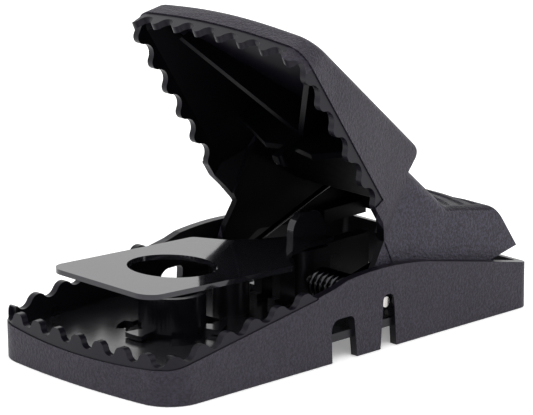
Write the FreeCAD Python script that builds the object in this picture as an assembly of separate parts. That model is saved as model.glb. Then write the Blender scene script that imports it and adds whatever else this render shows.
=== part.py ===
import FreeCAD, Part
import math
import os

# Snap trap with two toothed jaws, in millimetres.
# Frame: origin under the middle of the base, -X the mouth, +X the pedal, +Z up, mirrored in Y.
# The trap is built as it stands when set: upper jaw open, trigger plate raised.
# The upper jaw is drawn closed and swung open about the axle; its pedal is drawn as it stands set.

V = FreeCAD.Vector
ALONG_X = V(1, 0, 0)
ALONG_Y = V(0, 1, 0)
ALONG_Z = V(0, 0, 1)
FAR = 70.0                      # reach of the cutting solids beyond the trap

# overall
HALF_LENGTH = 47.0
WALL = 1.6
FIT_GAP = 0.35                  # between the toothed edges when the trap is closed
OPEN_ANGLE = 65.0
AXLE_X = 9.6
AXLE_Z = 8.1
AXLE_R = 1.0
AXLE_HALF = 22.5
RUNNING_GAP = 0.05

# base tray
BASE_DRAFT = math.tan(math.radians(4.75))
FRONT_DRAFT = math.tan(math.radians(2.0))
SIDE_MID = 23.85                # half width at the middle, on the ground
SIDE_FLARE = 0.0171             # the sides part slowly towards the pedal
BOW_RADIUS = 140.0
BOW_ANGLE = math.radians(6.34)
BOW_SLOPE = math.tan(BOW_ANGLE)
BOW_PEAK = BOW_RADIUS * (1 / math.cos(BOW_ANGLE) - 1)
FRONT_CORNER = 7.3              # corner radii on the ground
REAR_CORNER = 2.9
CORNER_TAPER = 0.3              # the corners get tighter towards the rim
JAW_CORNER = 4.9                # front corners of the jaw down at the teeth
FLOOR_TOP = 5.0
FLOOR_BOTTOM = 3.5
FLOOR_END = 7.2
BASE_TALL = 18.0
STRIP_Y = 15.0                  # beside the springs the floor runs on back to the rib
RIB_X = 23.2
RIB_THICK = 1.5
RIB_LOW = 1.0
RIB_TOP = 4.9

# openings and seats in the sides of the base
NOTCH_FRONT = -5.6
NOTCH_BACK = 0.8
NOTCH_TALL = 7.75
NOTCH_TAPER = 0.3
SLOT_FOOT = 3.0                 # from the axle's centre to the front of its slot on the ground
SLOT_HEAD = 1.3
SLOT_TOP = 9.8
SEAT_Y = 22.0                   # the slot is wider outside this, round the pin's free end
SNAP_HALF = 1.6                 # the slot narrows from here up to the snap seat
SNAP_LOW = 5.2
SNAP_TOP = 6.3
PAD_HALF = 2.6                  # thicker wall round the seat
PAD_Y = 20.95

# posts standing on the tray floor
POST_X = -8.0
POST_R = 3.4
POST_TOP = 11.5
BRACKET_R = 1.95                # the two brackets that carry the trigger plate
BRACKET_IN = 1.4
BRACKET_OUT = 3.4
BRACKET_TOE = 1.2
HUB_X = 10.2
HUB_R = 3.4
HUB_LOW = 1.0
HUB_TOP = 13.8
HUB_BACK = 14.5
SPINE_HALF = 1.4
SPINE_END = 27.0
SPINE_TOP = 13.6
TONGUE_HALF = 2.6               # joins the hub to the floor
TONGUE_X = 5.5

# toothed edges
BAND_DEPTH = 0.25               # the smooth band with the teeth is set back
SIDE_TOOTH_X = -39.9            # first valley beside the front corner
SIDE_TOOTH_Z = 8.67
SIDE_TOOTH_PITCH = 6.4
SIDE_TOOTH_HEIGHT = 0.85        # half of valley to tip
SIDE_TOOTH_SLOPE = math.atan(0.152)
SIDE_VALLEYS = 6
FRONT_TOOTH_PITCH = 5.55
FRONT_TOOTH_HEIGHT = 1.05
FRONT_TOOTH_Z = 8.05
FRONT_VALLEYS = 8
CORNER_X = -43.1                # side teeth behind this, front teeth before it
BAND_END = -8.1
LAST_VALLEY_TURN = 0.2          # how far round the last valley runs on past its lowest point
RIM = [(-3.6, 13.5), (-0.7, 14.36)]
RIM_CROWN = (8.5, 14.85)
RIM_BACK = (20.0, 13.8)
RIM_REAR = (47.5, 8.2)
SKIRT = [(-5.3, 13.42), (-2.4, 14.05), (1.1, 14.45), (3.9, 10.2)]

# bait cup, bayonet fitted in the tray floor
CUP_X = -22.9
CUP_R = 6.2
CUP_INSIDE_R = 5.1
CUP_TOP = 12.4
CUP_BOTTOM = 1.3
CUP_HOLE_R = 8.5
CUP_COLLAR_R = 8.1
CUP_FLANGE_R = 10.2
LUG_R = 9.9
LUG_WIDTH = 24.0
LUG_TURN = 60.0
LUGS = 3

# trigger plate
TRIGGER_X = 3.25
TRIGGER_Z = 12.1
TRIGGER_PIN_R = 0.9
PLATE_PITCH = math.atan(0.05)   # front of the plate stands higher
PLATE_REF_Z = 16.9              # height of its top face over the bait cup
PLATE_THICK = 0.95
PLATE_HOLE_R = 8.2
FIN_HALF = 0.8

# springs
SPRING_MEAN_R = 2.6
WIRE_R = 0.525
COIL_INNER_Y = 5.4
COIL_PITCH = 1.25
COIL_TURNS = 6                  # whole turns before the part turn up to the upper leg
SPRING_LEAVE = 101.5            # where on the coil the upper leg leaves, in degrees
LOWER_LEG = 15.0
UPPER_LEG = 28.0

# upper jaw
JAW_DRAFT = math.tan(math.radians(17.0))
JAW_FRONT_DRAFT = 0.14
PARTING_MID = 16.83             # height over the origin of the line where the jaw starts to lean in
PARTING_SLOPE = 0.152
ROOF_X = -38.2
ROOF_Z = 18.0
ROOF_SLOPE = math.atan(0.461)
ROOF_CROWN_R = 300.0
ROOF_EDGE_R = 1.8
JAW_TALL = 34.0
HUMP = (-7.7, 32.1)             # back edge of the roof, drawn closed
NOTCH = (-6.8, 24.4)            # crease behind the dome, drawn closed
CREASE_FOOT = (3.5, 11.0)
SKIRT_TURN = V(-4.6, 22.6, 13.4)   # here the skirt behind the teeth starts to turn inwards
SKIRT_TIP = V(1.0, 19.9, 14.3)
SKIRT_HEAD = V(NOTCH[0], 20.2, NOTCH[1])
EAR_HALF = 20.6                 # at the axle, a little above it
EAR_WALL = 1.5
EAR_BOSS_R = 2.8
WEB = 1.2
GUSSET_X = -14.0
STRIKER_Z = 12.6                # underside of the knob that presses the plate down
PEDAL_HEAD = (18.6, 31.4)
PEDAL_CORNER = (29.2, 21.6)
PEDAL_TAIL = (43.4, 19.2)
PEDAL_REAR_X = 46.7
PEDAL_REAR_Z = 11.1
PEDAL_REAR_SLOPE = 0.62         # the back leans forward going up
PEDAL_DRAFT = math.tan(math.radians(4.0))
PEDAL_EDGE_R = 2.4
FACET_DEPTH = 0.2               # the ears are smooth and set back at the front
LIP_FRONT = 34.0                # stiffening lip inside the pedal's lower edges
LIP_REAR = 45.6
LIP_LOW = 9.95
LIP_TOP = 12.6
LIP_IN = 17.2
LIP_OUT = 18.6
GROOVES = 3
GROOVE_FIRST = 7.6              # from the pedal's bend to the middle of the first groove
GROOVE_PITCH = 2.7
GROOVE_R = 0.9
GROOVE_DEPTH = 0.5
GROOVE_BEND_R = 29.0
GROOVE_BEND_STEP = 9.0          # each further groove is bent less
GROOVE_HALF = 17.8


def rounded_wire(points, radii):
    """Closed wire through the points, each corner rounded by its own radius (0 keeps it sharp)."""
    count = len(points)
    starts = []
    arcs = []
    ends = []
    for i in range(count):
        corner = points[i]
        before = (points[i - 1] - corner).normalize()
        after = (points[(i + 1) % count] - corner).normalize()
        radius = radii[i]
        if radius <= 0:
            starts.append(corner)
            ends.append(corner)
            arcs.append(None)
            continue
        half = before.getAngle(after) / 2
        reach = radius / math.tan(half)
        bisector = (before + after).normalize()
        middle = corner + bisector * (radius / math.sin(half) - radius)
        starts.append(corner + before * reach)
        ends.append(corner + after * reach)
        arcs.append(Part.Arc(starts[-1], middle, ends[-1]).toShape())
    edges = []
    for i in range(count):
        if arcs[i] is not None:
            edges.append(arcs[i])
        follow = starts[(i + 1) % count]
        if (follow - ends[i]).Length > 1e-6:
            edges.append(Part.makeLine(ends[i], follow))
    return Part.Wire(edges)


def side_prism(points, radii, half_y, inner_y=None):
    """Prism from an XZ outline, from -half_y to half_y, or from inner_y to half_y on one side."""
    start = -half_y if inner_y is None else inner_y
    wire = rounded_wire([V(x, start, z) for x, z in points], radii)
    return Part.Face(wire).extrude(V(0, half_y - start, 0))


def sharp_prism(points, half_y, inner_y=None):
    return side_prism(points, [0] * len(points), half_y, inner_y)


def box(x0, x1, y0, y1, z0, z1):
    return Part.makeBox(x1 - x0, y1 - y0, z1 - z0, V(x0, y0, z0))


def both_sides(shape):
    return shape.fuse(shape.mirror(V(0, 0, 0), ALONG_Y))


def loft(low, high):
    return Part.makeLoft([low, high], True, True)


def base_outline(z, inset, front_corner):
    """Plan of the base at height z, with its sides drawn in by inset."""
    nose = -HALF_LENGTH - BOW_PEAK + inset + z * FRONT_DRAFT
    side = SIDE_MID - inset - z * BASE_DRAFT
    tail = HALF_LENGTH - inset
    front_y = (side + SIDE_FLARE * nose) / (1 - SIDE_FLARE * BOW_SLOPE)
    front_x = nose + front_y * BOW_SLOPE
    rear_y = side + SIDE_FLARE * tail
    points = [V(nose, 0, z), V(front_x, front_y, z), V(tail, rear_y, z), V(tail, -rear_y, z),
              V(front_x, -front_y, z)]
    front_r = max(front_corner - inset, 0.5)
    rear_r = max(REAR_CORNER - z * CORNER_TAPER / 2 - inset, 0.5)
    return rounded_wire(points, [BOW_RADIUS, front_r, rear_r, rear_r, front_r])


def base_body(low, high, inset):
    """Tapered body of the base between two heights."""
    return loft(base_outline(low, inset, FRONT_CORNER - low * CORNER_TAPER),
                base_outline(high, inset, FRONT_CORNER - high * CORNER_TAPER))


def jaw_body(low, high, inset):
    """The same walls carried up for the jaw, whose front corners keep one radius."""
    return loft(base_outline(low, inset, JAW_CORNER), base_outline(high, inset, JAW_CORNER))


def wave(to_space, first, quarter, height, signs, gap, last_turn):
    """Tangent arcs through crests (+1) and valleys (-1), lifted square to the line by gap."""
    radius = (quarter ** 2 + height ** 2) / (2 * height)
    reach = math.asin(quarter / radius)
    edges = []
    for i, sign in enumerate(signs):
        centre = first + 2 * quarter * i
        lifted = radius + sign * gap
        low = 0.0 if i == 0 else -reach
        high = last_turn if i == len(signs) - 1 else reach
        points = []
        for angle in (low, (low + high) / 2, high):
            along = centre + lifted * math.sin(angle)
            up = sign * (height - radius) + sign * lifted * math.cos(angle)
            points.append(to_space(along, up))
        edges.append(Part.Arc(*points).toShape())
    return edges


def side_tooth_space(along, up):
    cosine = math.cos(SIDE_TOOTH_SLOPE)
    sine = math.sin(SIDE_TOOTH_SLOPE)
    return V(SIDE_TOOTH_X + along * cosine - up * sine, -FAR / 2,
             SIDE_TOOTH_Z + along * sine + up * cosine)


def front_tooth_space(along, up):
    return V(-FAR, along, FRONT_TOOTH_Z + up)


def closed_path(edges, corners):
    """Face bounded by the edges, then by straight lines through the corner points."""
    first = edges[0].Vertexes[0].Point
    last = edges[-1].Vertexes[-1].Point
    chain = [last] + corners + [first]
    lines = [Part.makeLine(a, b) for a, b in zip(chain, chain[1:])]
    return Part.Face(Part.Wire(edges + lines))


def side_wave(gap):
    """Toothed side edge, led in from the front, lifted by gap."""
    quarter = SIDE_TOOTH_PITCH / math.cos(SIDE_TOOTH_SLOPE) / 4
    signs = [1 if i % 2 == 0 else -1 for i in range(2 * SIDE_VALLEYS)]
    edges = wave(side_tooth_space, -2 * quarter, quarter, SIDE_TOOTH_HEIGHT, signs, gap,
                 LAST_VALLEY_TURN)
    first = edges[0].Vertexes[0].Point
    return [Part.makeLine(V(-FAR, -FAR / 2, first.z), first)] + edges


def joined_lines(start, points):
    """Straight edges from the start through the XZ points, in the plane of the start."""
    chain = [start] + [V(x, start.y, z) for x, z in points]
    return [Part.makeLine(a, b) for a, b in zip(chain, chain[1:])]


def above_base_side():
    """Everything above the toothed side edge of the base and the rim behind it."""
    edges = side_wave(0)
    edges += joined_lines(edges[-1].Vertexes[-1].Point, RIM)
    start = edges[-1].Vertexes[-1].Point
    crown = V(RIM_CROWN[0], start.y, RIM_CROWN[1])
    back = V(RIM_BACK[0], start.y, RIM_BACK[1])
    edges.append(Part.Arc(start, crown, back).toShape())
    edges += joined_lines(back, [RIM_REAR])
    corners = [V(FAR, start.y, RIM_REAR[1]), V(FAR, start.y, FAR), V(-FAR, start.y, FAR)]
    return closed_path(edges, corners).extrude(V(0, FAR, 0))


def below_jaw_side():
    """Everything below the toothed side edge of the jaw and the skirt behind it."""
    edges = side_wave(FIT_GAP)
    edges += joined_lines(edges[-1].Vertexes[-1].Point, SKIRT)
    depth = edges[-1].Vertexes[-1].Point.y
    corners = [V(SKIRT[-1][0], depth, -FAR), V(-FAR, depth, -FAR)]
    return closed_path(edges, corners).extrude(V(0, FAR, 0))


def front_teeth(gap, above):
    """Everything above (or below) the toothed front edge, lifted by gap, before the corners."""
    quarter = FRONT_TOOTH_PITCH / 4
    signs = [1 if i % 2 == 0 else -1 for i in range(2 * FRONT_VALLEYS + 1)]
    start = -4 * quarter * FRONT_VALLEYS / 2
    edges = wave(front_tooth_space, start, quarter, FRONT_TOOTH_HEIGHT, signs, gap, 0.0)
    first = edges[0].Vertexes[0].Point
    last = edges[-1].Vertexes[-1].Point
    edges = [Part.makeLine(V(-FAR, -FAR, first.z), first)] + edges
    edges.append(Part.makeLine(last, V(-FAR, FAR, last.z)))
    limit = FAR if above else -FAR
    corners = [V(-FAR, FAR, limit), V(-FAR, -FAR, limit)]
    return closed_path(edges, corners).extrude(V(FAR + CORNER_X, 0, 0))


def sector(radius, low, high, centre_x, middle_deg, width_deg):
    """Wedge of a disc about a vertical line, used for the bayonet lugs and their notches."""
    wedge = Part.makeCylinder(radius, high - low, V(0, 0, low), ALONG_Z, width_deg)
    wedge.rotate(V(0, 0, 0), ALONG_Z, middle_deg - width_deg / 2)
    wedge.translate(V(centre_x, 0, 0))
    return wedge


def make_base():
    shell = base_body(0, BASE_TALL, 0).cut(base_body(-1, BASE_TALL + 1, WALL))
    # smooth band under the teeth, set back from the grained wall
    skin = base_body(0, BASE_TALL, 0).cut(base_body(-1, BASE_TALL + 1, BAND_DEPTH))
    band_side = sharp_prism([(-44, 6.6), (BAND_END, 12.3), (BAND_END, FAR), (-44, FAR)], FAR / 2)
    low_arc = Part.Arc(V(-FAR, -20, 6.6), V(-FAR, 0, 5.55), V(-FAR, 20, 6.6)).toShape()
    front_face = closed_path([low_arc], [V(-FAR, FAR, 6.6), V(-FAR, FAR, FAR), V(-FAR, -FAR, FAR),
                                         V(-FAR, -FAR, 6.6)])
    band_front = front_face.extrude(V(FAR - 44, 0, 0))
    shell = shell.cut(skin.common(band_side)).cut(skin.common(band_front))
    shell = shell.cut(above_base_side()).cut(front_teeth(0, True))

    # notches in the sides: a square one, and the one the axle is pushed up through
    notch = side_prism([(NOTCH_FRONT, -1), (NOTCH_FRONT + NOTCH_TAPER, NOTCH_TALL),
                        (NOTCH_BACK - NOTCH_TAPER, NOTCH_TALL), (NOTCH_BACK, -1)],
                       [0, 2.2, 1.1, 0], FAR / 2)
    outer_slot = side_prism([(AXLE_X - SLOT_FOOT, -1), (AXLE_X - SLOT_HEAD, SLOT_TOP),
                             (AXLE_X + SLOT_HEAD, SLOT_TOP), (AXLE_X + SLOT_HEAD, -1)],
                            [0, 1.2, 1.2, 0], FAR / 2, SEAT_Y)
    seat_r = AXLE_R + RUNNING_GAP / 2
    inner_slot = sharp_prism([(AXLE_X - SLOT_FOOT, -1), (AXLE_X - SNAP_HALF, SNAP_LOW),
                              (AXLE_X - seat_r, SNAP_TOP), (AXLE_X - seat_r, AXLE_Z),
                              (AXLE_X + seat_r, AXLE_Z), (AXLE_X + seat_r, SNAP_TOP),
                              (AXLE_X + SLOT_HEAD, SNAP_LOW), (AXLE_X + SLOT_HEAD, -1)], SEAT_Y)
    seat = Part.makeCylinder(seat_r, 2 * SEAT_Y, V(AXLE_X, -SEAT_Y, AXLE_Z), ALONG_Y)
    pad = box(AXLE_X - PAD_HALF, AXLE_X + PAD_HALF, PAD_Y, SEAT_Y + 0.3, FLOOR_BOTTOM, SLOT_TOP)
    shell = shell.cut(notch).fuse(both_sides(pad))
    shell = shell.cut(both_sides(outer_slot)).cut(inner_slot).cut(seat)

    # tray floor with the bayonet hole for the bait cup, and a strip of it along each side
    inside = base_body(FLOOR_BOTTOM, FLOOR_TOP, WALL / 2)
    floor = inside.common(box(-FAR, FLOOR_END, -FAR, FAR, 0, FAR))
    floor = floor.cut(Part.makeCylinder(CUP_HOLE_R, 9, V(CUP_X, 0, 0)))
    for i in range(LUGS):
        middle = 180 + LUG_TURN + i * 360 / LUGS
        floor = floor.cut(sector(LUG_R + 0.3, 0, 9, CUP_X, middle, LUG_WIDTH + 6))
    strips = inside.common(both_sides(box(FLOOR_END - 1, RIB_X + 1, STRIP_Y, FAR, 0, FAR)))
    strips = strips.cut(inner_slot)

    # post that the plate comes down on, and the two brackets that carry the plate
    post = Part.makeCylinder(POST_R, POST_TOP - FLOOR_BOTTOM, V(POST_X, 0, FLOOR_BOTTOM))
    front = TRIGGER_X - BRACKET_R
    width = BRACKET_OUT - BRACKET_IN
    bracket = box(front, TRIGGER_X + BRACKET_R, BRACKET_IN, BRACKET_OUT, FLOOR_BOTTOM, TRIGGER_Z)
    bracket = bracket.fuse(Part.makeCylinder(BRACKET_R, width, V(TRIGGER_X, BRACKET_IN, TRIGGER_Z),
                                             ALONG_Y))
    bracket = bracket.fuse(box(front - BRACKET_TOE, TRIGGER_X, BRACKET_IN, BRACKET_OUT,
                               FLOOR_BOTTOM, FLOOR_TOP + 1.3))
    pin_hole = TRIGGER_PIN_R + RUNNING_GAP
    brackets = both_sides(bracket).cut(
        Part.makeCylinder(pin_hole, 12, V(TRIGGER_X, -6, TRIGGER_Z), ALONG_Y))

    # hub that carries the middle of the axle, its spine and the rib behind it
    hub = Part.makeCylinder(HUB_R, HUB_TOP - HUB_LOW, V(HUB_X, 0, HUB_LOW))
    hub = hub.fuse(box(HUB_X, HUB_BACK, -HUB_R, HUB_R, HUB_LOW, HUB_TOP))
    hub = hub.fuse(box(HUB_BACK - 0.5, SPINE_END, -SPINE_HALF, SPINE_HALF, HUB_LOW, SPINE_TOP))
    hub = hub.fuse(box(TONGUE_X, HUB_X, -TONGUE_HALF, TONGUE_HALF, FLOOR_BOTTOM, FLOOR_TOP))
    hub = hub.cut(Part.makeCylinder(seat_r, 12, V(AXLE_X, -6, AXLE_Z), ALONG_Y))
    rib = base_body(RIB_LOW, RIB_TOP, WALL / 2).common(
        box(RIB_X, RIB_X + RIB_THICK, -FAR, FAR, 0, FAR))
    return shell.fuse([floor, strips, post, brackets, hub, rib]).removeSplitter()


def make_cup():
    solid = Part.makeCylinder(CUP_R, CUP_TOP - CUP_BOTTOM, V(CUP_X, 0, CUP_BOTTOM))
    solid = solid.fuse(Part.makeCylinder(CUP_FLANGE_R, 1.3, V(CUP_X, 0, FLOOR_BOTTOM - 1.5)))
    solid = solid.fuse(Part.makeCylinder(CUP_COLLAR_R, 1.6, V(CUP_X, 0, FLOOR_BOTTOM - 0.7)))
    for i in range(LUGS):
        lug = sector(LUG_R, FLOOR_TOP + 0.15, FLOOR_TOP + 1.1, CUP_X, 180 + i * 360 / LUGS,
                     LUG_WIDTH)
        web = sector(CUP_COLLAR_R, FLOOR_BOTTOM, FLOOR_TOP + 1.1, CUP_X, 180 + i * 360 / LUGS,
                     LUG_WIDTH)
        solid = solid.fuse(lug).fuse(web)
    solid = solid.fuse(box(CUP_X - 5.5, CUP_X + 5.5, -0.9, 0.9, 0.4, CUP_BOTTOM + 0.5))
    solid = solid.cut(Part.makeCylinder(CUP_INSIDE_R, FAR, V(CUP_X, 0, CUP_BOTTOM + 1.2)))
    return solid.removeSplitter()


def on_plate(x, y, up):
    """Point at height up over the plate's sloping top face."""
    return V(x, y, PLATE_REF_Z - (x - CUP_X) * math.tan(PLATE_PITCH) + up)


def make_trigger():
    half = [(-41.2, 13.2, 3.5), (-5.1, 13.2, 1.3), (-1.4, 7.6, 2.5), (3.1, 5.0, 3.0),
            (9.5, 3.0, 4.0), (16.5, 2.6, 0.5)]
    points = [on_plate(x, y, 0) for x, y, r in half]
    points += [on_plate(x, -y, 0) for x, y, r in reversed(half)]
    radii = [r for x, y, r in half]
    radii += list(reversed(radii))
    plate = Part.Face(rounded_wire(points, radii)).extrude(V(0, 0, -PLATE_THICK))
    plate = plate.cut(Part.makeCylinder(PLATE_HOLE_R, FAR, V(CUP_X, 0, 0)))
    fin = side_prism([(7.3, 15.0), (7.3, 20.4), (14.6, 20.4), (16.3, 15.0)],
                     [0, 3.4, 2.6, 0], FIN_HALF)
    lug = sharp_prism([(TRIGGER_X - 1.5, TRIGGER_Z), (TRIGGER_X - 1.9, 15.2),
                       (TRIGGER_X + 1.9, 15.0), (TRIGGER_X + 1.5, TRIGGER_Z)], 1.2)
    lug = lug.fuse(Part.makeCylinder(1.5, 2.4, V(TRIGGER_X, -1.2, TRIGGER_Z), ALONG_Y))
    pin = Part.makeCylinder(TRIGGER_PIN_R, 6.8, V(TRIGGER_X, -3.4, TRIGGER_Z), ALONG_Y)
    return plate.fuse([fin, lug, pin]).removeSplitter()


def make_spring():
    """Left torsion spring: lower leg on the base rib, coil round the axle, upper leg under the pedal."""
    turns = COIL_TURNS + (270.0 - SPRING_LEAVE) / 360.0
    coil = Part.makeHelix(COIL_PITCH, COIL_PITCH * turns, SPRING_MEAN_R)
    coil.rotate(V(0, 0, 0), ALONG_Z, 90)
    coil.rotate(V(0, 0, 0), ALONG_X, -90)
    coil.translate(V(AXLE_X, COIL_INNER_Y, AXLE_Z))
    rise = COIL_PITCH / (2 * math.pi * SPRING_MEAN_R)
    leave = math.radians(SPRING_LEAVE)
    start = V(AXLE_X, COIL_INNER_Y, AXLE_Z - SPRING_MEAN_R)
    end = V(AXLE_X + SPRING_MEAN_R * math.cos(leave), COIL_INNER_Y + COIL_PITCH * turns,
            AXLE_Z + SPRING_MEAN_R * math.sin(leave))
    into = V(-1, rise, 0).normalize()
    out = V(math.sin(leave), rise, -math.cos(leave)).normalize()
    foot = start - into * LOWER_LEG
    path = Part.Wire([Part.makeLine(foot, start)] + coil.Edges
                     + [Part.makeLine(end, end + out * UPPER_LEG)])
    section = Part.Wire(Part.makeCircle(WIRE_R, foot, into))
    return path.makePipeShell([section], True, True, 2)


def jaw_outline(z):
    """Plan at height z of the part of the jaw that leans in above the teeth."""
    part_front = 10.5
    nose = -HALF_LENGTH - BOW_PEAK + part_front * FRONT_DRAFT + (z - part_front) * JAW_FRONT_DRAFT
    lean = JAW_DRAFT - BASE_DRAFT
    flare = SIDE_FLARE + PARTING_SLOPE * lean
    side = SIDE_MID + PARTING_MID * lean - z * JAW_DRAFT
    front_y = (side + flare * nose) / (1 - flare * BOW_SLOPE)
    front_x = nose + front_y * BOW_SLOPE
    tail = 20.0
    rear_y = side + flare * tail
    radius = 3.8 + 0.11 * z
    bow = BOW_RADIUS * (1 - z / 45.0)
    return rounded_wire([V(nose, 0, z), V(front_x, front_y, z), V(tail, rear_y, z),
                         V(tail, -rear_y, z), V(front_x, -front_y, z)],
                        [bow, radius, 0, 0, radius])


def jaw_lean(inset):
    """Leaning sides of the dome, drawn in by inset."""
    body = loft(jaw_outline(0), jaw_outline(JAW_TALL))
    if inset:
        low = jaw_outline(0).makeOffset2D(-inset)
        high = jaw_outline(JAW_TALL).makeOffset2D(-inset)
        body = loft(low, high)
    return body


def roof(lower):
    """Crowned roof of the dome as the top of a very large lying cylinder, lowered by a wall."""
    along = V(math.cos(ROOF_SLOPE), 0, math.sin(ROOF_SLOPE))
    up = V(-math.sin(ROOF_SLOPE), 0, math.cos(ROOF_SLOPE))
    centre = V(ROOF_X, 0, ROOF_Z) - up * ROOF_CROWN_R
    crown = Part.makeCylinder(ROOF_CROWN_R - lower, 4 * FAR, centre - along * 2 * FAR, along)
    crown.rotate(centre, along, 180)
    return crown


def outside_skirt(inset):
    """Both spaces outside the turned-in skirt behind the teeth, brought in by inset."""
    along = (SKIRT_HEAD - SKIRT_TIP).normalize()
    across = (SKIRT_TURN - SKIRT_TIP)
    across = (across - along * across.dot(along)).normalize()
    outward = along.cross(across)
    if outward.y < 0:
        outward = outward * -1
    corner = SKIRT_TIP - outward * inset - along * FAR - across * FAR
    side = Part.makePolygon([corner, corner + along * 2 * FAR, corner + (along + across) * 2 * FAR,
                             corner + across * 2 * FAR, corner])
    return both_sides(Part.Face(side).extrude(outward * 9))


def dome_outer():
    body = jaw_body(-1, JAW_TALL, 0).common(jaw_lean(0)).common(roof(0))
    profile = sharp_prism([HUMP, NOTCH, CREASE_FOOT, (CREASE_FOOT[0], -1), (-FAR, -1),
                           (-FAR, HUMP[1])], FAR / 2)
    return body.common(profile)


def dome_inner():
    body = jaw_body(-3, JAW_TALL + 1, WALL).common(jaw_lean(WALL)).common(roof(WALL))
    profile = sharp_prism([(HUMP[0] - WALL - 0.1, HUMP[1]), (NOTCH[0] - WALL, NOTCH[1] - 0.4),
                           (CREASE_FOOT[0] - 1.3, CREASE_FOOT[1] - 0.9),
                           (CREASE_FOOT[0] - 1.3, -2), (-FAR, -2), (-FAR, HUMP[1])], FAR / 2)
    return body.common(profile).cut(outside_skirt(WALL))


def pedal_plan(z, inset):
    """Plan at height z of the pedal, in the set pose."""
    half = EAR_HALF - (z - 9.0) * PEDAL_DRAFT - inset
    front = -8.0
    rear = PEDAL_REAR_X + (PEDAL_REAR_Z - z) * PEDAL_REAR_SLOPE - inset
    front_y = half + (front - AXLE_X) * SIDE_FLARE
    rear_y = half + (rear - AXLE_X) * SIDE_FLARE
    points = [V(front, front_y, z), V(front, -front_y, z), V(rear, -rear_y, z), V(rear, rear_y, z)]
    return rounded_wire(points, [0, 0, 0, 0])


def pedal_outer():
    plan = loft(pedal_plan(4, 0), pedal_plan(36, 0))
    profile = side_prism([(7.6, 10.2), (8.9, 14.1), (11.7, 18.6), (11.0, 20.5), (12.5, 25.0),
                          (15.5, 33.6), PEDAL_HEAD, PEDAL_CORNER, PEDAL_TAIL, (50.0, 13.5),
                          (47.5, 11.35), (36.5, 9.0), (33.0, 10.2), (18.0, 11.8), (12.3, 8.3)],
                         [0, 2.0, 1.0, 0, 0, 0, 0, 4.5, 0, 0, 0, 3.0, 5.0, 3.0, 0], FAR / 2)
    return plan.common(profile)


def ear_facets():
    """Thin skin taken off the front foot of both ears."""
    skin = loft(pedal_plan(4, 0), pedal_plan(36, 0)).cut(
        loft(pedal_plan(3, FACET_DEPTH), pedal_plan(37, FACET_DEPTH)))
    return skin.common(sharp_prism([(5.0, 9.0), (11.0, 19.0), (11.9, 18.4), (15.0, 11.0)], FAR / 2))


def pedal_inner():
    plan = loft(pedal_plan(-6, EAR_WALL), pedal_plan(36, EAR_WALL))
    profile = side_prism([(16.0, 31.2), (28.6, 19.57), (44.0, 17.0), (60.0, 17.0), (60.0, -5),
                          (3.0, -5), (3.0, 15.0), (8.0, 20.5), (12.5, 30.0)],
                         [0, 3.5, 0, 0, 0, 0, 0, 0, 0], FAR / 2)
    return plan.common(profile)


def swing_open(shape):
    turned = shape.copy()
    turned.rotate(V(AXLE_X, 0, AXLE_Z), ALONG_Y, OPEN_ANGLE)
    return turned


def fillet_faces(solid, picks, radius):
    """Round the outline edges of the faces that picks accepts."""
    edges = []
    for face in solid.Faces:
        if picks(face):
            edges += face.Edges
    return solid.makeFillet(radius, edges)


def upright_web(start, end, thick):
    """Web standing over the line from start to end, which is its lower edge."""
    across = V(start.y - end.y, end.x - start.x, 0).normalize()
    shift = across * (-thick / 2)
    points = [start + shift, end + shift, V(end.x, end.y, JAW_TALL) + shift,
              V(start.x, start.y, JAW_TALL) + shift]
    return Part.Face(Part.makePolygon(points + [points[0]])).extrude(across * thick)


def dome_webs():
    """Webs inside the dome, drawn closed: a V of two long ones, a cross gusset, and the striker."""
    apex = V(-15.0, 0, 19.8)
    webs = [upright_web(apex, V(-37.5, 16.5, 14.0), WEB),
            upright_web(V(GUSSET_X, 0, 17.0), V(GUSSET_X, 6.0, 16.0), WEB),
            upright_web(V(GUSSET_X, 6.0, 16.0), V(GUSSET_X, 17.5, 21.2), WEB)]
    pair = webs[0].fuse(webs[1:])
    post = box(-15.2, -13.6, -0.8, 0.8, STRIKER_Z, JAW_TALL)
    knob = Part.makeCylinder(1.05, 3.4, V(-15.2, 0, STRIKER_Z + 1.05), ALONG_X)
    return both_sides(pair).fuse([post, knob])


def pedal_lips():
    """Lips that stiffen the pedal's lower edges from inside."""
    lip = box(LIP_FRONT, LIP_REAR, LIP_IN, LIP_OUT, LIP_LOW, LIP_TOP)
    return both_sides(lip.fuse(box(LIP_FRONT, LIP_REAR, LIP_IN, EAR_HALF - 1.0, 11.2, LIP_TOP)))


def grip_grooves():
    """Curved grooves across the pedal's sloping top."""
    slope = math.atan2(PEDAL_CORNER[1] - PEDAL_TAIL[1], PEDAL_TAIL[0] - PEDAL_CORNER[0])
    tools = []
    for i in range(GROOVES):
        reach = GROOVE_BEND_R + GROOVE_BEND_STEP * i
        ring = Part.makeTorus(reach, GROOVE_R)
        ring = ring.common(box(reach * 0.7, reach + 2, -GROOVE_HALF, GROOVE_HALF, -2, 2))
        ring.translate(V(GROOVE_FIRST + GROOVE_PITCH * i - reach, 0, GROOVE_R - GROOVE_DEPTH))
        ring.rotate(V(0, 0, 0), ALONG_Y, math.degrees(slope))
        ring.translate(V(PEDAL_CORNER[0], 0, PEDAL_CORNER[1]))
        tools.append(ring)
    return tools


def pedal_rounded(pedal):
    """Round the pedal's top along both sides and across the back."""
    edges = []
    for edge in pedal.Edges:
        bounds = edge.BoundBox
        if bounds.ZMin > 16.5 and bounds.XMin > 15.0 and (bounds.YLength < 6 or bounds.XMin > 38):
            edges.append(edge)
    return pedal.makeFillet(PEDAL_EDGE_R, edges)


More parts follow.
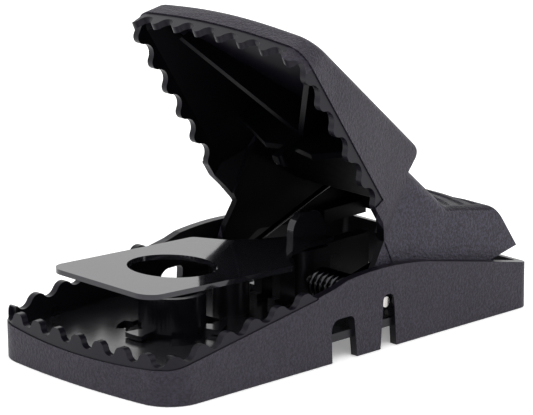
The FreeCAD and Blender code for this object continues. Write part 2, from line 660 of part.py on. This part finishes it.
def make_jaw():
    dome = dome_outer()
    dome = fillet_faces(dome, lambda f: isinstance(f.Surface, Part.Cylinder)
                        and f.Surface.Radius > 250, ROOF_EDGE_R)
    # toothed lower edge, meshing with the base, and the skirt that turns in behind it
    below = below_jaw_side()
    rear_zone = box(CORNER_X, FAR, -FAR, FAR, -FAR, FAR)
    dome = dome.cut(below.common(rear_zone)).cut(below.common(front_teeth(FIT_GAP, False)))
    dome = dome.cut(outside_skirt(0))
    # smooth band above the teeth, set back
    skin = jaw_body(-1, BASE_TALL + 6, 0).cut(jaw_body(-2, BASE_TALL + 7, BAND_DEPTH))
    band = sharp_prism([(-60, 10.5), (-41.6, 10.5), (BAND_END - 0.3, 15.55), (BAND_END, -1),
                        (-60, -1)], FAR / 2)
    dome = dome.cut(skin.common(band))
    pedal = pedal_rounded(pedal_outer()).cut(ear_facets())
    webs = swing_open(dome_webs().common(dome))
    outer = swing_open(dome).fuse(pedal)
    hollow = swing_open(dome_inner()).fuse(pedal_inner())
    jaw = outer.cut(hollow).fuse([webs, pedal_lips()])
    # eyes that turn on the axle
    boss = Part.makeCylinder(EAR_BOSS_R, 2.5, V(AXLE_X, EAR_HALF - 2.6, AXLE_Z), ALONG_Y)
    jaw = jaw.fuse(both_sides(boss))
    eye = Part.makeCylinder(AXLE_R + RUNNING_GAP, 2 * FAR, V(AXLE_X, -FAR, AXLE_Z), ALONG_Y)
    jaw = jaw.cut(eye)
    for groove in grip_grooves():
        jaw = jaw.cut(groove)
    return jaw.removeSplitter()


def export(name, shape):
    solids = shape.Solids
    if len(solids) == 1:
        shape = solids[0]
    print(name, "valid", shape.isValid(), "solids", len(solids), "volume", round(shape.Volume, 1))
    shape.exportStep("parts/" + name + ".step")


os.makedirs("parts", exist_ok=True)
export("base_shell", make_base())
export("bait_cup", make_cup())
export("trigger_plate", make_trigger())
export("upper_jaw", make_jaw())
export("jaw_axle", Part.makeCylinder(AXLE_R, 2 * AXLE_HALF, V(AXLE_X, -AXLE_HALF, AXLE_Z), ALONG_Y))
spring = make_spring()
export("torsion_spring_left", spring)
export("torsion_spring_right", spring.mirror(V(0, 0, 0), ALONG_Y))
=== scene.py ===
import math

import bpy
from mathutils import Matrix, Vector


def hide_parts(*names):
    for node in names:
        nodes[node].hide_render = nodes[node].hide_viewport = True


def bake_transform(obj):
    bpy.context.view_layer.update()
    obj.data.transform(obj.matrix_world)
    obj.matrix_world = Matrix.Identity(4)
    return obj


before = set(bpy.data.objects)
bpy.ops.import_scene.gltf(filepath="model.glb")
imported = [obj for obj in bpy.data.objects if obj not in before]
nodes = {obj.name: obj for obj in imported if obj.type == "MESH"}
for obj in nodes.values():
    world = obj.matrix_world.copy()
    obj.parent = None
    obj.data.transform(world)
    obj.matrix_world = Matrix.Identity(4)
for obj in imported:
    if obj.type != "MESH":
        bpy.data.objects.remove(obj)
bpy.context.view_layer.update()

MM = 0.001

# The dimensions below are in millimetres. They place the change of one finish to another.
AXLE_X = 9.6
AXLE_Z = 8.1
OPEN = math.radians(65.0)
SWING_SHUT = Matrix.Rotation(-OPEN, 3, "Y")

# walls that the base and the shut jaw share
HALF_LENGTH = 47.0
SIDE_MID = 23.85
SIDE_FLARE = 0.0171
SIDE_DRAFT = math.tan(math.radians(4.75))
FRONT_DRAFT = math.tan(math.radians(2.0))
BOW_RADIUS = 140.0
BOW_ANGLE = math.radians(6.34)
BOW_SLOPE = math.tan(BOW_ANGLE)
BOW_PEAK = BOW_RADIUS * (1 / math.cos(BOW_ANGLE) - 1)   # the straight ends would meet this far ahead
FRONT_CORNER = 7.3
FRONT_CORNER_TAPER = 0.3
REAR_CORNER = 2.9
REAR_CORNER_TAPER = 0.16
FLOOR_LEVEL = 5.3
RIM_REACH = 1.9                 # rims and ledges lie no deeper than this behind the wall

# smooth band with the teeth
BAND_REAR = -8.1
BAND_FRONT = -44.0
BAND_LOW_MID = 5.55             # lower edge at the middle of the front
BAND_LOW_SIDE = 6.6
BAND_SAG = 1.05
BAND_HALF = 20.0
BAND_SLOPE = 0.1588

# dome of the jaw, drawn shut
JAW_DRAFT = math.tan(math.radians(17.0))
JAW_CORNER = 4.9
JAW_TOP_CORNER = 3.8
JAW_TOP_CORNER_TAPER = 0.11
JAW_NOSE_Z = 10.5
JAW_NOSE_DRAFT = 0.14
PARTING_MID = 16.83
PARTING_SLOPE = 0.152
ROOF_FRONT = Vector((-38.2, 0.0, 18.0))
ROOF_SLOPE = math.atan(0.461)
ROOF_CROWN_R = 300.0
ROOF_EDGE_R = 1.8
NOTCH_X = -6.8
NOTCH_Z = 24.4
CREASE_LEAN = 10.3 / 13.4       # run over rise of the dome's back, below the notch
HUMP_LEAN = -0.139              # and above it
SKIRT_POINT = Vector((1.0, 19.9, 14.3))
SKIRT_OUTWARD = Vector((0.269, 0.946, 0.186))

# pedal and ears of the jaw, as they stand when the trap is set
EAR_HALF = 20.6
EAR_Z = 9.0
PEDAL_DRAFT = math.tan(math.radians(4.0))
PEDAL_HEAD = (18.6, 31.4)
PEDAL_CORNER = (29.2, 21.6)
PEDAL_TAIL = (43.4, 19.2)
PEDAL_REAR_X = 46.7
PEDAL_REAR_Z = 11.1
PEDAL_REAR_SLOPE = 0.62
PEDAL_EDGE_R = 2.4
GRIP_X = 27.0                   # the grooved part starts here
EAR_REACH = 1.8

# torsion springs
SPRING_MEAN_R = 2.6
WIRE_R = 0.525
COIL_INNER_Y = 5.4
COIL_PITCH = 1.25
COIL_TURNS = 6.0 + 168.5 / 360.0
COIL_STEPS = 200
LOWER_LEG = 15.0
LOWER_LEG_STEPS = 15
UPPER_LEG = 28.0
UPPER_LEG_STEPS = 20

# Depths under the outer surface: down to the skin a face is outside, down to the band smooth.
BASE_SKIN, BASE_BAND = 0.15, 0.6
DOME_SKIN, DOME_BAND = 0.18, 0.55
PEDAL_SKIN, PEDAL_BAND = 0.14, 0.5
PEDAL_TOP_SKIN = 0.7            # takes in the grooves of the grip
REAR_SKIN = 0.3

# places of the finishes in the lists given to paint()
GRAINED, SMOOTH = 0, 1
TRAY_FLOOR, TRAY_INSIDE = 2, 3
# In the jaw's list the hollow takes painted shade, the pedal's sides take painted light, and its top
# and grip take painted shade.
HOLLOW_PAINTED_SHADE, PEDAL_SIDE_PAINTED_LIGHT, PEDAL_GRIP_PAINTED_SHADE = 2, 3, 4


# ---------------------------------------------------------------- materials

def new_material(name):
    material = bpy.data.materials.new(name)
    material.use_nodes = True
    tree = material.node_tree
    return material, tree, tree.nodes["Principled BSDF"]


def noise(tree, scale, detail, rough):
    """Noise of this scale per metre of the object."""
    coords = tree.nodes.new("ShaderNodeTexCoord")
    node = tree.nodes.new("ShaderNodeTexNoise")
    node.inputs["Scale"].default_value = scale
    node.inputs["Detail"].default_value = detail
    node.inputs["Roughness"].default_value = rough
    tree.links.new(coords.outputs["Object"], node.inputs["Vector"])
    return node


def ramp(tree, source, stops):
    """Colour ramp through (place, colour) stops."""
    node = tree.nodes.new("ShaderNodeValToRGB")
    elements = node.color_ramp.elements
    for element, (place, colour) in zip(elements, stops):
        element.position = place
        element.color = (*colour, 1.0)
    tree.links.new(source, node.inputs["Fac"])
    return node


def scaled(colour, factor):
    return tuple(factor * channel for channel in colour)


def roughness(tree, shader, source, low, high):
    """Let the roughness wander between low and high."""
    gloss = ramp(tree, source, [(0.3, (low, low, low)), (0.7, (high, high, high))])
    tree.links.new(gloss.outputs["Color"], shader.inputs["Roughness"])


def bump(tree, shader, height, strength, distance):
    node = tree.nodes.new("ShaderNodeBump")
    node.inputs["Strength"].default_value = strength
    node.inputs["Distance"].default_value = distance
    tree.links.new(height, node.inputs["Height"])
    tree.links.new(node.outputs["Normal"], shader.inputs["Normal"])


def grained_plastic(name, light, specular):
    """Spark-eroded grain of the outer walls, about half a millimetre across."""
    material, tree, shader = new_material(name)
    grain = noise(tree, 2000.0, 2.0, 0.6)
    cloud = noise(tree, 90.0, 4.0, 0.6)
    colour = ramp(tree, grain.outputs["Fac"], [(0.38, (0.0020, 0.0014, 0.0040)), (0.66, light)])
    tree.links.new(colour.outputs["Color"], shader.inputs["Base Color"])
    roughness(tree, shader, cloud.outputs["Fac"], 0.50, 0.60)
    shader.inputs["Specular IOR Level"].default_value = specular
    shader.inputs["Specular Tint"].default_value = (0.94, 0.89, 1.0, 1.0)
    bump(tree, shader, grain.outputs["Fac"], 1.0, 0.00030)
    return material


def smooth_plastic(name, low, high, colour, ripple, specular=0.5):
    """Bare moulded plastic with a roughness between low and high: teeth, ledges and insides."""
    material, tree, shader = new_material(name)
    shader.inputs["Specular IOR Level"].default_value = specular
    shader.inputs["Specular Tint"].default_value = (0.95, 0.92, 1.0, 1.0)
    cloud = noise(tree, 140.0, 4.0, 0.55)
    tint = ramp(tree, cloud.outputs["Fac"], [(0.3, scaled(colour, 0.8)), (0.7, scaled(colour, 1.2))])
    tree.links.new(tint.outputs["Color"], shader.inputs["Base Color"])
    roughness(tree, shader, cloud.outputs["Fac"], low, high)
    fine = noise(tree, 900.0, 2.0, 0.5)
    bump(tree, shader, fine.outputs["Fac"], ripple, 0.00004)
    return material


def metal(name, colour, low, high, streak):
    """Bare metal with marks of the scale streak."""
    material, tree, shader = new_material(name)
    shader.inputs["Metallic"].default_value = 1.0
    marks = noise(tree, streak, 3.0, 0.6)
    tint = ramp(tree, marks.outputs["Fac"], [(0.3, scaled(colour, 0.75)), (0.7, colour)])
    tree.links.new(tint.outputs["Color"], shader.inputs["Base Color"])
    roughness(tree, shader, marks.outputs["Fac"], low, high)
    bump(tree, shader, marks.outputs["Fac"], 0.1, 0.00003)
    return material


GRAIN = grained_plastic("grained_plastic", (0.0168, 0.0134, 0.0250), 0.40)
# Lighter copy of the grained plastic for the pedal's sides and rear: painted light, on plastic that
# is the same as the base's.
PEDAL_PAINTED_LIGHT_GRAIN = grained_plastic("pedal_plastic_painted_light", (0.0260, 0.0225, 0.0400), 0.46)
# Darker, less glossy copy for the pedal's top and grip: the darker colour is painted shade.
GRIP_PAINTED_SHADE_GRAIN = grained_plastic("grip_plastic_painted_shade", (0.0120, 0.0100, 0.0170), 0.16)
BAND = smooth_plastic("smooth_band", 0.30, 0.38, (0.0045, 0.0038, 0.0065), 0.15, 0.19)
# Near-black plastic for the jaw's hollow: painted shade, far darker than the same plastic outside.
INNER_PAINTED_SHADE = smooth_plastic("inner_plastic_painted_shade", 0.36, 0.46, (0.0010, 0.0011, 0.0018), 0.1, 0.06)
GLOSS = smooth_plastic("polished_plastic", 0.05, 0.09, (0.007, 0.007, 0.009), 0.03)
CUP = smooth_plastic("cup_plastic", 0.12, 0.18, (0.005, 0.005, 0.007), 0.1, 0.4)
TRAY_WALL = smooth_plastic("tray_wall", 0.26, 0.36, (0.0035, 0.0033, 0.0048), 0.1, 0.30)
FLOOR_PLASTIC = smooth_plastic("tray_plastic", 0.16, 0.24, (0.008, 0.008, 0.0095), 0.1)
AXLE_STEEL = metal("axle_steel", (0.62, 0.60, 0.58), 0.22, 0.34, 700.0)
SPRING_STEEL = metal("spring_steel", (0.055, 0.055, 0.06), 0.10, 0.18, 900.0)


# ---------------------------------------------------------------- finish of each face

def paint(obj, materials, choose):
    """Give every face of obj one of the materials, by choose(centre in mm, normal)."""
    obj.data.materials.clear()
    for material in materials:
        obj.data.materials.append(material)
    for face in obj.data.polygons:
        face.material_index = choose(face.center / MM, face.normal)


def corner_depth(a, b, radius):
    """Depth under a rounded corner, from the depths under the two faces that meet there."""
    if a < radius and b < radius:
        return radius - math.hypot(radius - a, radius - b)
    return min(a, b)


def bow_reach(y):
    """How far the bowed front lies behind its foremost point at this y."""
    if abs(y) < BOW_RADIUS * math.sin(BOW_ANGLE):
        return BOW_RADIUS - math.sqrt(BOW_RADIUS ** 2 - y * y)
    return abs(y) * BOW_SLOPE - BOW_PEAK


def wall_depth(c, front_corner):
    """How far a point lies inside the drafted walls that the base and the shut jaw share."""
    side = SIDE_MID + SIDE_FLARE * c.x - c.z * SIDE_DRAFT - abs(c.y)
    front = c.x + HALF_LENGTH - c.z * FRONT_DRAFT - bow_reach(c.y)
    return min(corner_depth(side, front, front_corner),
               corner_depth(side, HALF_LENGTH - c.x, REAR_CORNER - REAR_CORNER_TAPER * c.z))


def on_band(c):
    """True above the lower edge of the base's smooth band."""
    if c.x > BAND_REAR:
        return False
    if c.x < BAND_FRONT:
        return c.z > BAND_LOW_MID + BAND_SAG * min(abs(c.y) / BAND_HALF, 1.0) ** 2
    return c.z > BAND_LOW_SIDE + (c.x - BAND_FRONT) * BAND_SLOPE


def base_face(c, n):
    """Finish of a face of the base."""
    if n.z > 0.7 and c.z < FLOOR_LEVEL:
        return TRAY_FLOOR
    depth = wall_depth(c, FRONT_CORNER - FRONT_CORNER_TAPER * c.z)
    if abs(n.z) < 0.3 and (n.x * c.x > 0 or n.y * c.y > 0):
        if depth < BASE_BAND and on_band(c):
            return SMOOTH
        if depth < BASE_SKIN:
            return GRAINED
    if n.z > 0.3 and depth < RIM_REACH and c.z > 6.0:
        return SMOOTH
    return TRAY_INSIDE


def line_depth(c, start, end):
    """Depth of a point under the sloping line from start to end, both given as X and Z."""
    along = Vector((end[0] - start[0], end[1] - start[1])).normalized()
    return (c.x - start[0]) * along.y - (c.z - start[1]) * along.x


def dome_depth(k):
    """Depth of a point under the outside of the dome, with the jaw shut."""
    lean = JAW_DRAFT - SIDE_DRAFT
    flare = SIDE_FLARE + PARTING_SLOPE * lean
    side = SIDE_MID + PARTING_MID * lean + flare * k.x - k.z * JAW_DRAFT - abs(k.y)
    front = (k.x + HALF_LENGTH - JAW_NOSE_Z * FRONT_DRAFT - (k.z - JAW_NOSE_Z) * JAW_NOSE_DRAFT
             - bow_reach(k.y))
    leaning = corner_depth(side / math.hypot(1, JAW_DRAFT), front,
                           JAW_TOP_CORNER + JAW_TOP_CORNER_TAPER * k.z)
    walls = min(leaning, wall_depth(k, JAW_CORNER))
    up = Vector((-math.sin(ROOF_SLOPE), 0, math.cos(ROOF_SLOPE)))
    rise = (k - ROOF_FRONT).dot(up) + ROOF_CROWN_R
    top = ROOF_CROWN_R - math.hypot(rise, k.y)
    return corner_depth(walls, top, ROOF_EDGE_R)


def dome_back(z):
    """Where the back of the dome lies at this height, with the jaw shut."""
    if z < NOTCH_Z:
        return NOTCH_X + (NOTCH_Z - z) * CREASE_LEAN
    return NOTCH_X + (z - NOTCH_Z) * HUMP_LEAN


def dome_face(k, m, back):
    """Finish of a face of the dome, from its centre and normal with the jaw shut."""
    depth = dome_depth(k)
    skirt_depth = -SKIRT_OUTWARD.dot(Vector((k.x, abs(k.y), k.z)) - SKIRT_POINT)
    if abs(k.x - back) < 0.2 and m.x > 0.3:
        return GRAINED
    if min(depth, skirt_depth) < DOME_SKIN:
        return GRAINED
    if depth < DOME_BAND and m.z > -0.4:
        return SMOOTH
    if m.z < -0.3 and depth < RIM_REACH:
        return SMOOTH
    # the inside of the dome takes the painted shade
    return HOLLOW_PAINTED_SHADE


def pedal_depth(c):
    """Depths of a point under the pedal's side, top and rear, as set."""
    side = EAR_HALF + SIDE_FLARE * (c.x - AXLE_X) - (c.z - EAR_Z) * PEDAL_DRAFT - abs(c.y)
    top = max(line_depth(c, PEDAL_HEAD, PEDAL_CORNER), line_depth(c, PEDAL_CORNER, PEDAL_TAIL))
    rear = PEDAL_REAR_X + (PEDAL_REAR_Z - c.z) * PEDAL_REAR_SLOPE - c.x
    return side, top, rear / math.hypot(1, PEDAL_REAR_SLOPE)


def pedal_face(c, n):
    """Finish of a face of the pedal or of its ears; the outer skin is painted light on the sides and
    rear and painted shade on the top and grip, and the hollow is painted shade.
    """
    side, top, rear = pedal_depth(c)
    outward = n.y * c.y > 0 and abs(n.y) > 0.1
    # faces looking up take the copy with painted shade, the others take the copy with painted light
    skin = PEDAL_GRIP_PAINTED_SHADE if n.z > 0.6 and abs(n.y) < 0.25 else PEDAL_SIDE_PAINTED_LIGHT
    if c.x > GRIP_X and side > PEDAL_SKIN and 0.05 < top < PEDAL_TOP_SKIN:
        return PEDAL_GRIP_PAINTED_SHADE
    if side < PEDAL_SKIN or top < PEDAL_TOP_SKIN and n.z > 0.15 or rear < REAR_SKIN and n.x > 0.1:
        return skin
    rounded = min(corner_depth(side, top, PEDAL_EDGE_R), corner_depth(rear, top, PEDAL_EDGE_R))
    if rounded < REAR_SKIN and (outward or n.z > 0.1):
        return skin
    if side < PEDAL_BAND and outward:
        return SMOOTH
    if side < EAR_REACH and (n.z < -0.3 or n.x < -0.5):
        return SMOOTH
    # the pedal's hollow takes the painted shade
    return HOLLOW_PAINTED_SHADE


def jaw_face(c, n):
    """Finish of a face of the upper jaw."""
    axle = Vector((AXLE_X, 0.0, AXLE_Z))
    k = SWING_SHUT @ (c - axle) + axle
    back = dome_back(k.z)
    if k.x < back + 0.1:
        return dome_face(k, SWING_SHUT @ n, back)
    return pedal_face(c, n)


paint(nodes["base_shell"], [GRAIN, BAND, FLOOR_PLASTIC, TRAY_WALL], base_face)
paint(nodes["upper_jaw"], [GRAIN, BAND, INNER_PAINTED_SHADE, PEDAL_PAINTED_LIGHT_GRAIN, GRIP_PAINTED_SHADE_GRAIN], jaw_face)
paint(nodes["trigger_plate"], [GLOSS], lambda c, n: 0)
paint(nodes["bait_cup"], [CUP], lambda c, n: 0)
paint(nodes["jaw_axle"], [AXLE_STEEL], lambda c, n: 0)


# ---------------------------------------------------------------- springs

def tube(name, points, radius, material, sides=12):
    """Round wire along the points, as one closed mesh."""
    verts = []
    tangent = (points[1] - points[0]).normalized()
    across = tangent.orthogonal().normalized()
    for i, point in enumerate(points):
        ahead = points[min(i + 1, len(points) - 1)]
        behind = points[max(i - 1, 0)]
        turned = (ahead - behind).normalized()
        across = (tangent.rotation_difference(turned) @ across).normalized()
        tangent = turned
        up = tangent.cross(across)
        for k in range(sides):
            angle = 2 * math.pi * k / sides
            verts.append(point + (across * math.cos(angle) + up * math.sin(angle)) * radius)
    faces = []
    last = (len(points) - 1) * sides
    for ring in range(0, last, sides):
        for k in range(sides):
            a = ring + k
            b = ring + (k + 1) % sides
            faces.append((a, b, b + sides, a + sides))
    faces.append(tuple(reversed(range(sides))))
    faces.append(tuple(range(last, last + sides)))
    mesh = bpy.data.meshes.new(name)
    mesh.from_pydata([tuple(v) for v in verts], [], faces)
    mesh.polygons.foreach_set("use_smooth", [True] * len(mesh.polygons))
    mesh.materials.append(material)
    obj = bpy.data.objects.new(name, mesh)
    bpy.context.scene.collection.objects.link(obj)
    return obj


def spring(name, side, node):
    """Torsion spring: lower leg, coil round the axle and upper leg, outwards to this side."""
    width = COIL_PITCH * COIL_TURNS
    coil = []
    for i in range(COIL_STEPS + 1):
        angle = -math.pi / 2 - 2 * math.pi * COIL_TURNS * i / COIL_STEPS
        coil.append(Vector((AXLE_X + SPRING_MEAN_R * math.cos(angle),
                            side * (COIL_INNER_Y + width * i / COIL_STEPS),
                            AXLE_Z + SPRING_MEAN_R * math.sin(angle))) * MM)
    first = (coil[1] - coil[0]).normalized() * MM
    last = (coil[-1] - coil[-2]).normalized() * MM
    lower = [coil[0] - first * LOWER_LEG * (1 - i / LOWER_LEG_STEPS) for i in range(LOWER_LEG_STEPS)]
    upper = [coil[-1] + last * UPPER_LEG * (i + 1) / UPPER_LEG_STEPS for i in range(UPPER_LEG_STEPS)]
    piece = tube(name, lower + coil + upper, WIRE_R * MM, SPRING_STEEL)
    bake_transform(piece)
    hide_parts(node)


spring("spring_wire_left", 1, "torsion_spring_left")
spring("spring_wire_right", -1, "torsion_spring_right")


# ---------------------------------------------------------------- studio

def plane(name, size, z, material):
    """Square plane facing up."""
    half = size / 2
    mesh = bpy.data.meshes.new(name)
    mesh.from_pydata([(-half, -half, z), (half, -half, z), (half, half, z), (-half, half, z)],
                     [], [(0, 1, 2, 3)])
    mesh.materials.append(material)
    obj = bpy.data.objects.new(name, mesh)
    bpy.context.scene.collection.objects.link(obj)
    return obj


ground_material, _, ground_shader = new_material("studio_floor")
ground_shader.inputs["Base Color"].default_value = (0.97, 0.97, 0.97, 1.0)
ground_shader.inputs["Roughness"].default_value = 0.9
ground_shader.inputs["Specular IOR Level"].default_value = 0.1
ground_shader.inputs["Emission Color"].default_value = (1.0, 1.0, 1.0, 1.0)
ground_shader.inputs["Emission Strength"].default_value = 0.25
plane("studio_floor", 30.0, -0.0001, ground_material)

world = bpy.data.worlds.new("studio")
bpy.context.scene.world = world
world.use_nodes = True
background = world.node_tree.nodes["Background"]
background.inputs["Color"].default_value = (1.0, 1.0, 1.0, 1.0)
background.inputs["Strength"].default_value = 1.25


def area_light(name, place, target, size, power):
    """Soft square light at place, turned to the target."""
    data = bpy.data.lights.new(name, "AREA")
    data.shape = "SQUARE"
    data.size = size
    data.energy = power
    light = bpy.data.objects.new(name, data)
    light.location = place
    aim = Vector(target) - Vector(place)
    light.rotation_euler = aim.to_track_quat("-Z", "Y").to_euler()
    bpy.context.scene.collection.objects.link(light)


area_light("key", (-0.25, -0.35, 0.85), (0, 0, 0.02), 0.5, 1.0)
area_light("back", (0.45, 0.35, 0.5), (0, 0, 0.03), 0.4, 0.4)

camera_data = bpy.data.cameras.new("camera")
camera_data.lens = 288.0
camera_data.sensor_width = 36.0
camera_data.clip_start = 0.01
camera_data.clip_end = 50.0
camera = bpy.data.objects.new("camera", camera_data)
place = Vector((-0.5317, -0.5343, 0.2368))
look_at = Vector((0.0029, 0.0018, 0.0224))
camera.location = place
camera.rotation_mode = "QUATERNION"
roll = Matrix.Rotation(math.radians(0.24), 4, "Z").to_quaternion()
camera.rotation_quaternion = (look_at - place).to_track_quat("-Z", "Y") @ roll
bpy.context.scene.collection.objects.link(camera)
bpy.context.scene.camera = camera
bpy.context.scene.view_settings.view_transform = "Standard"
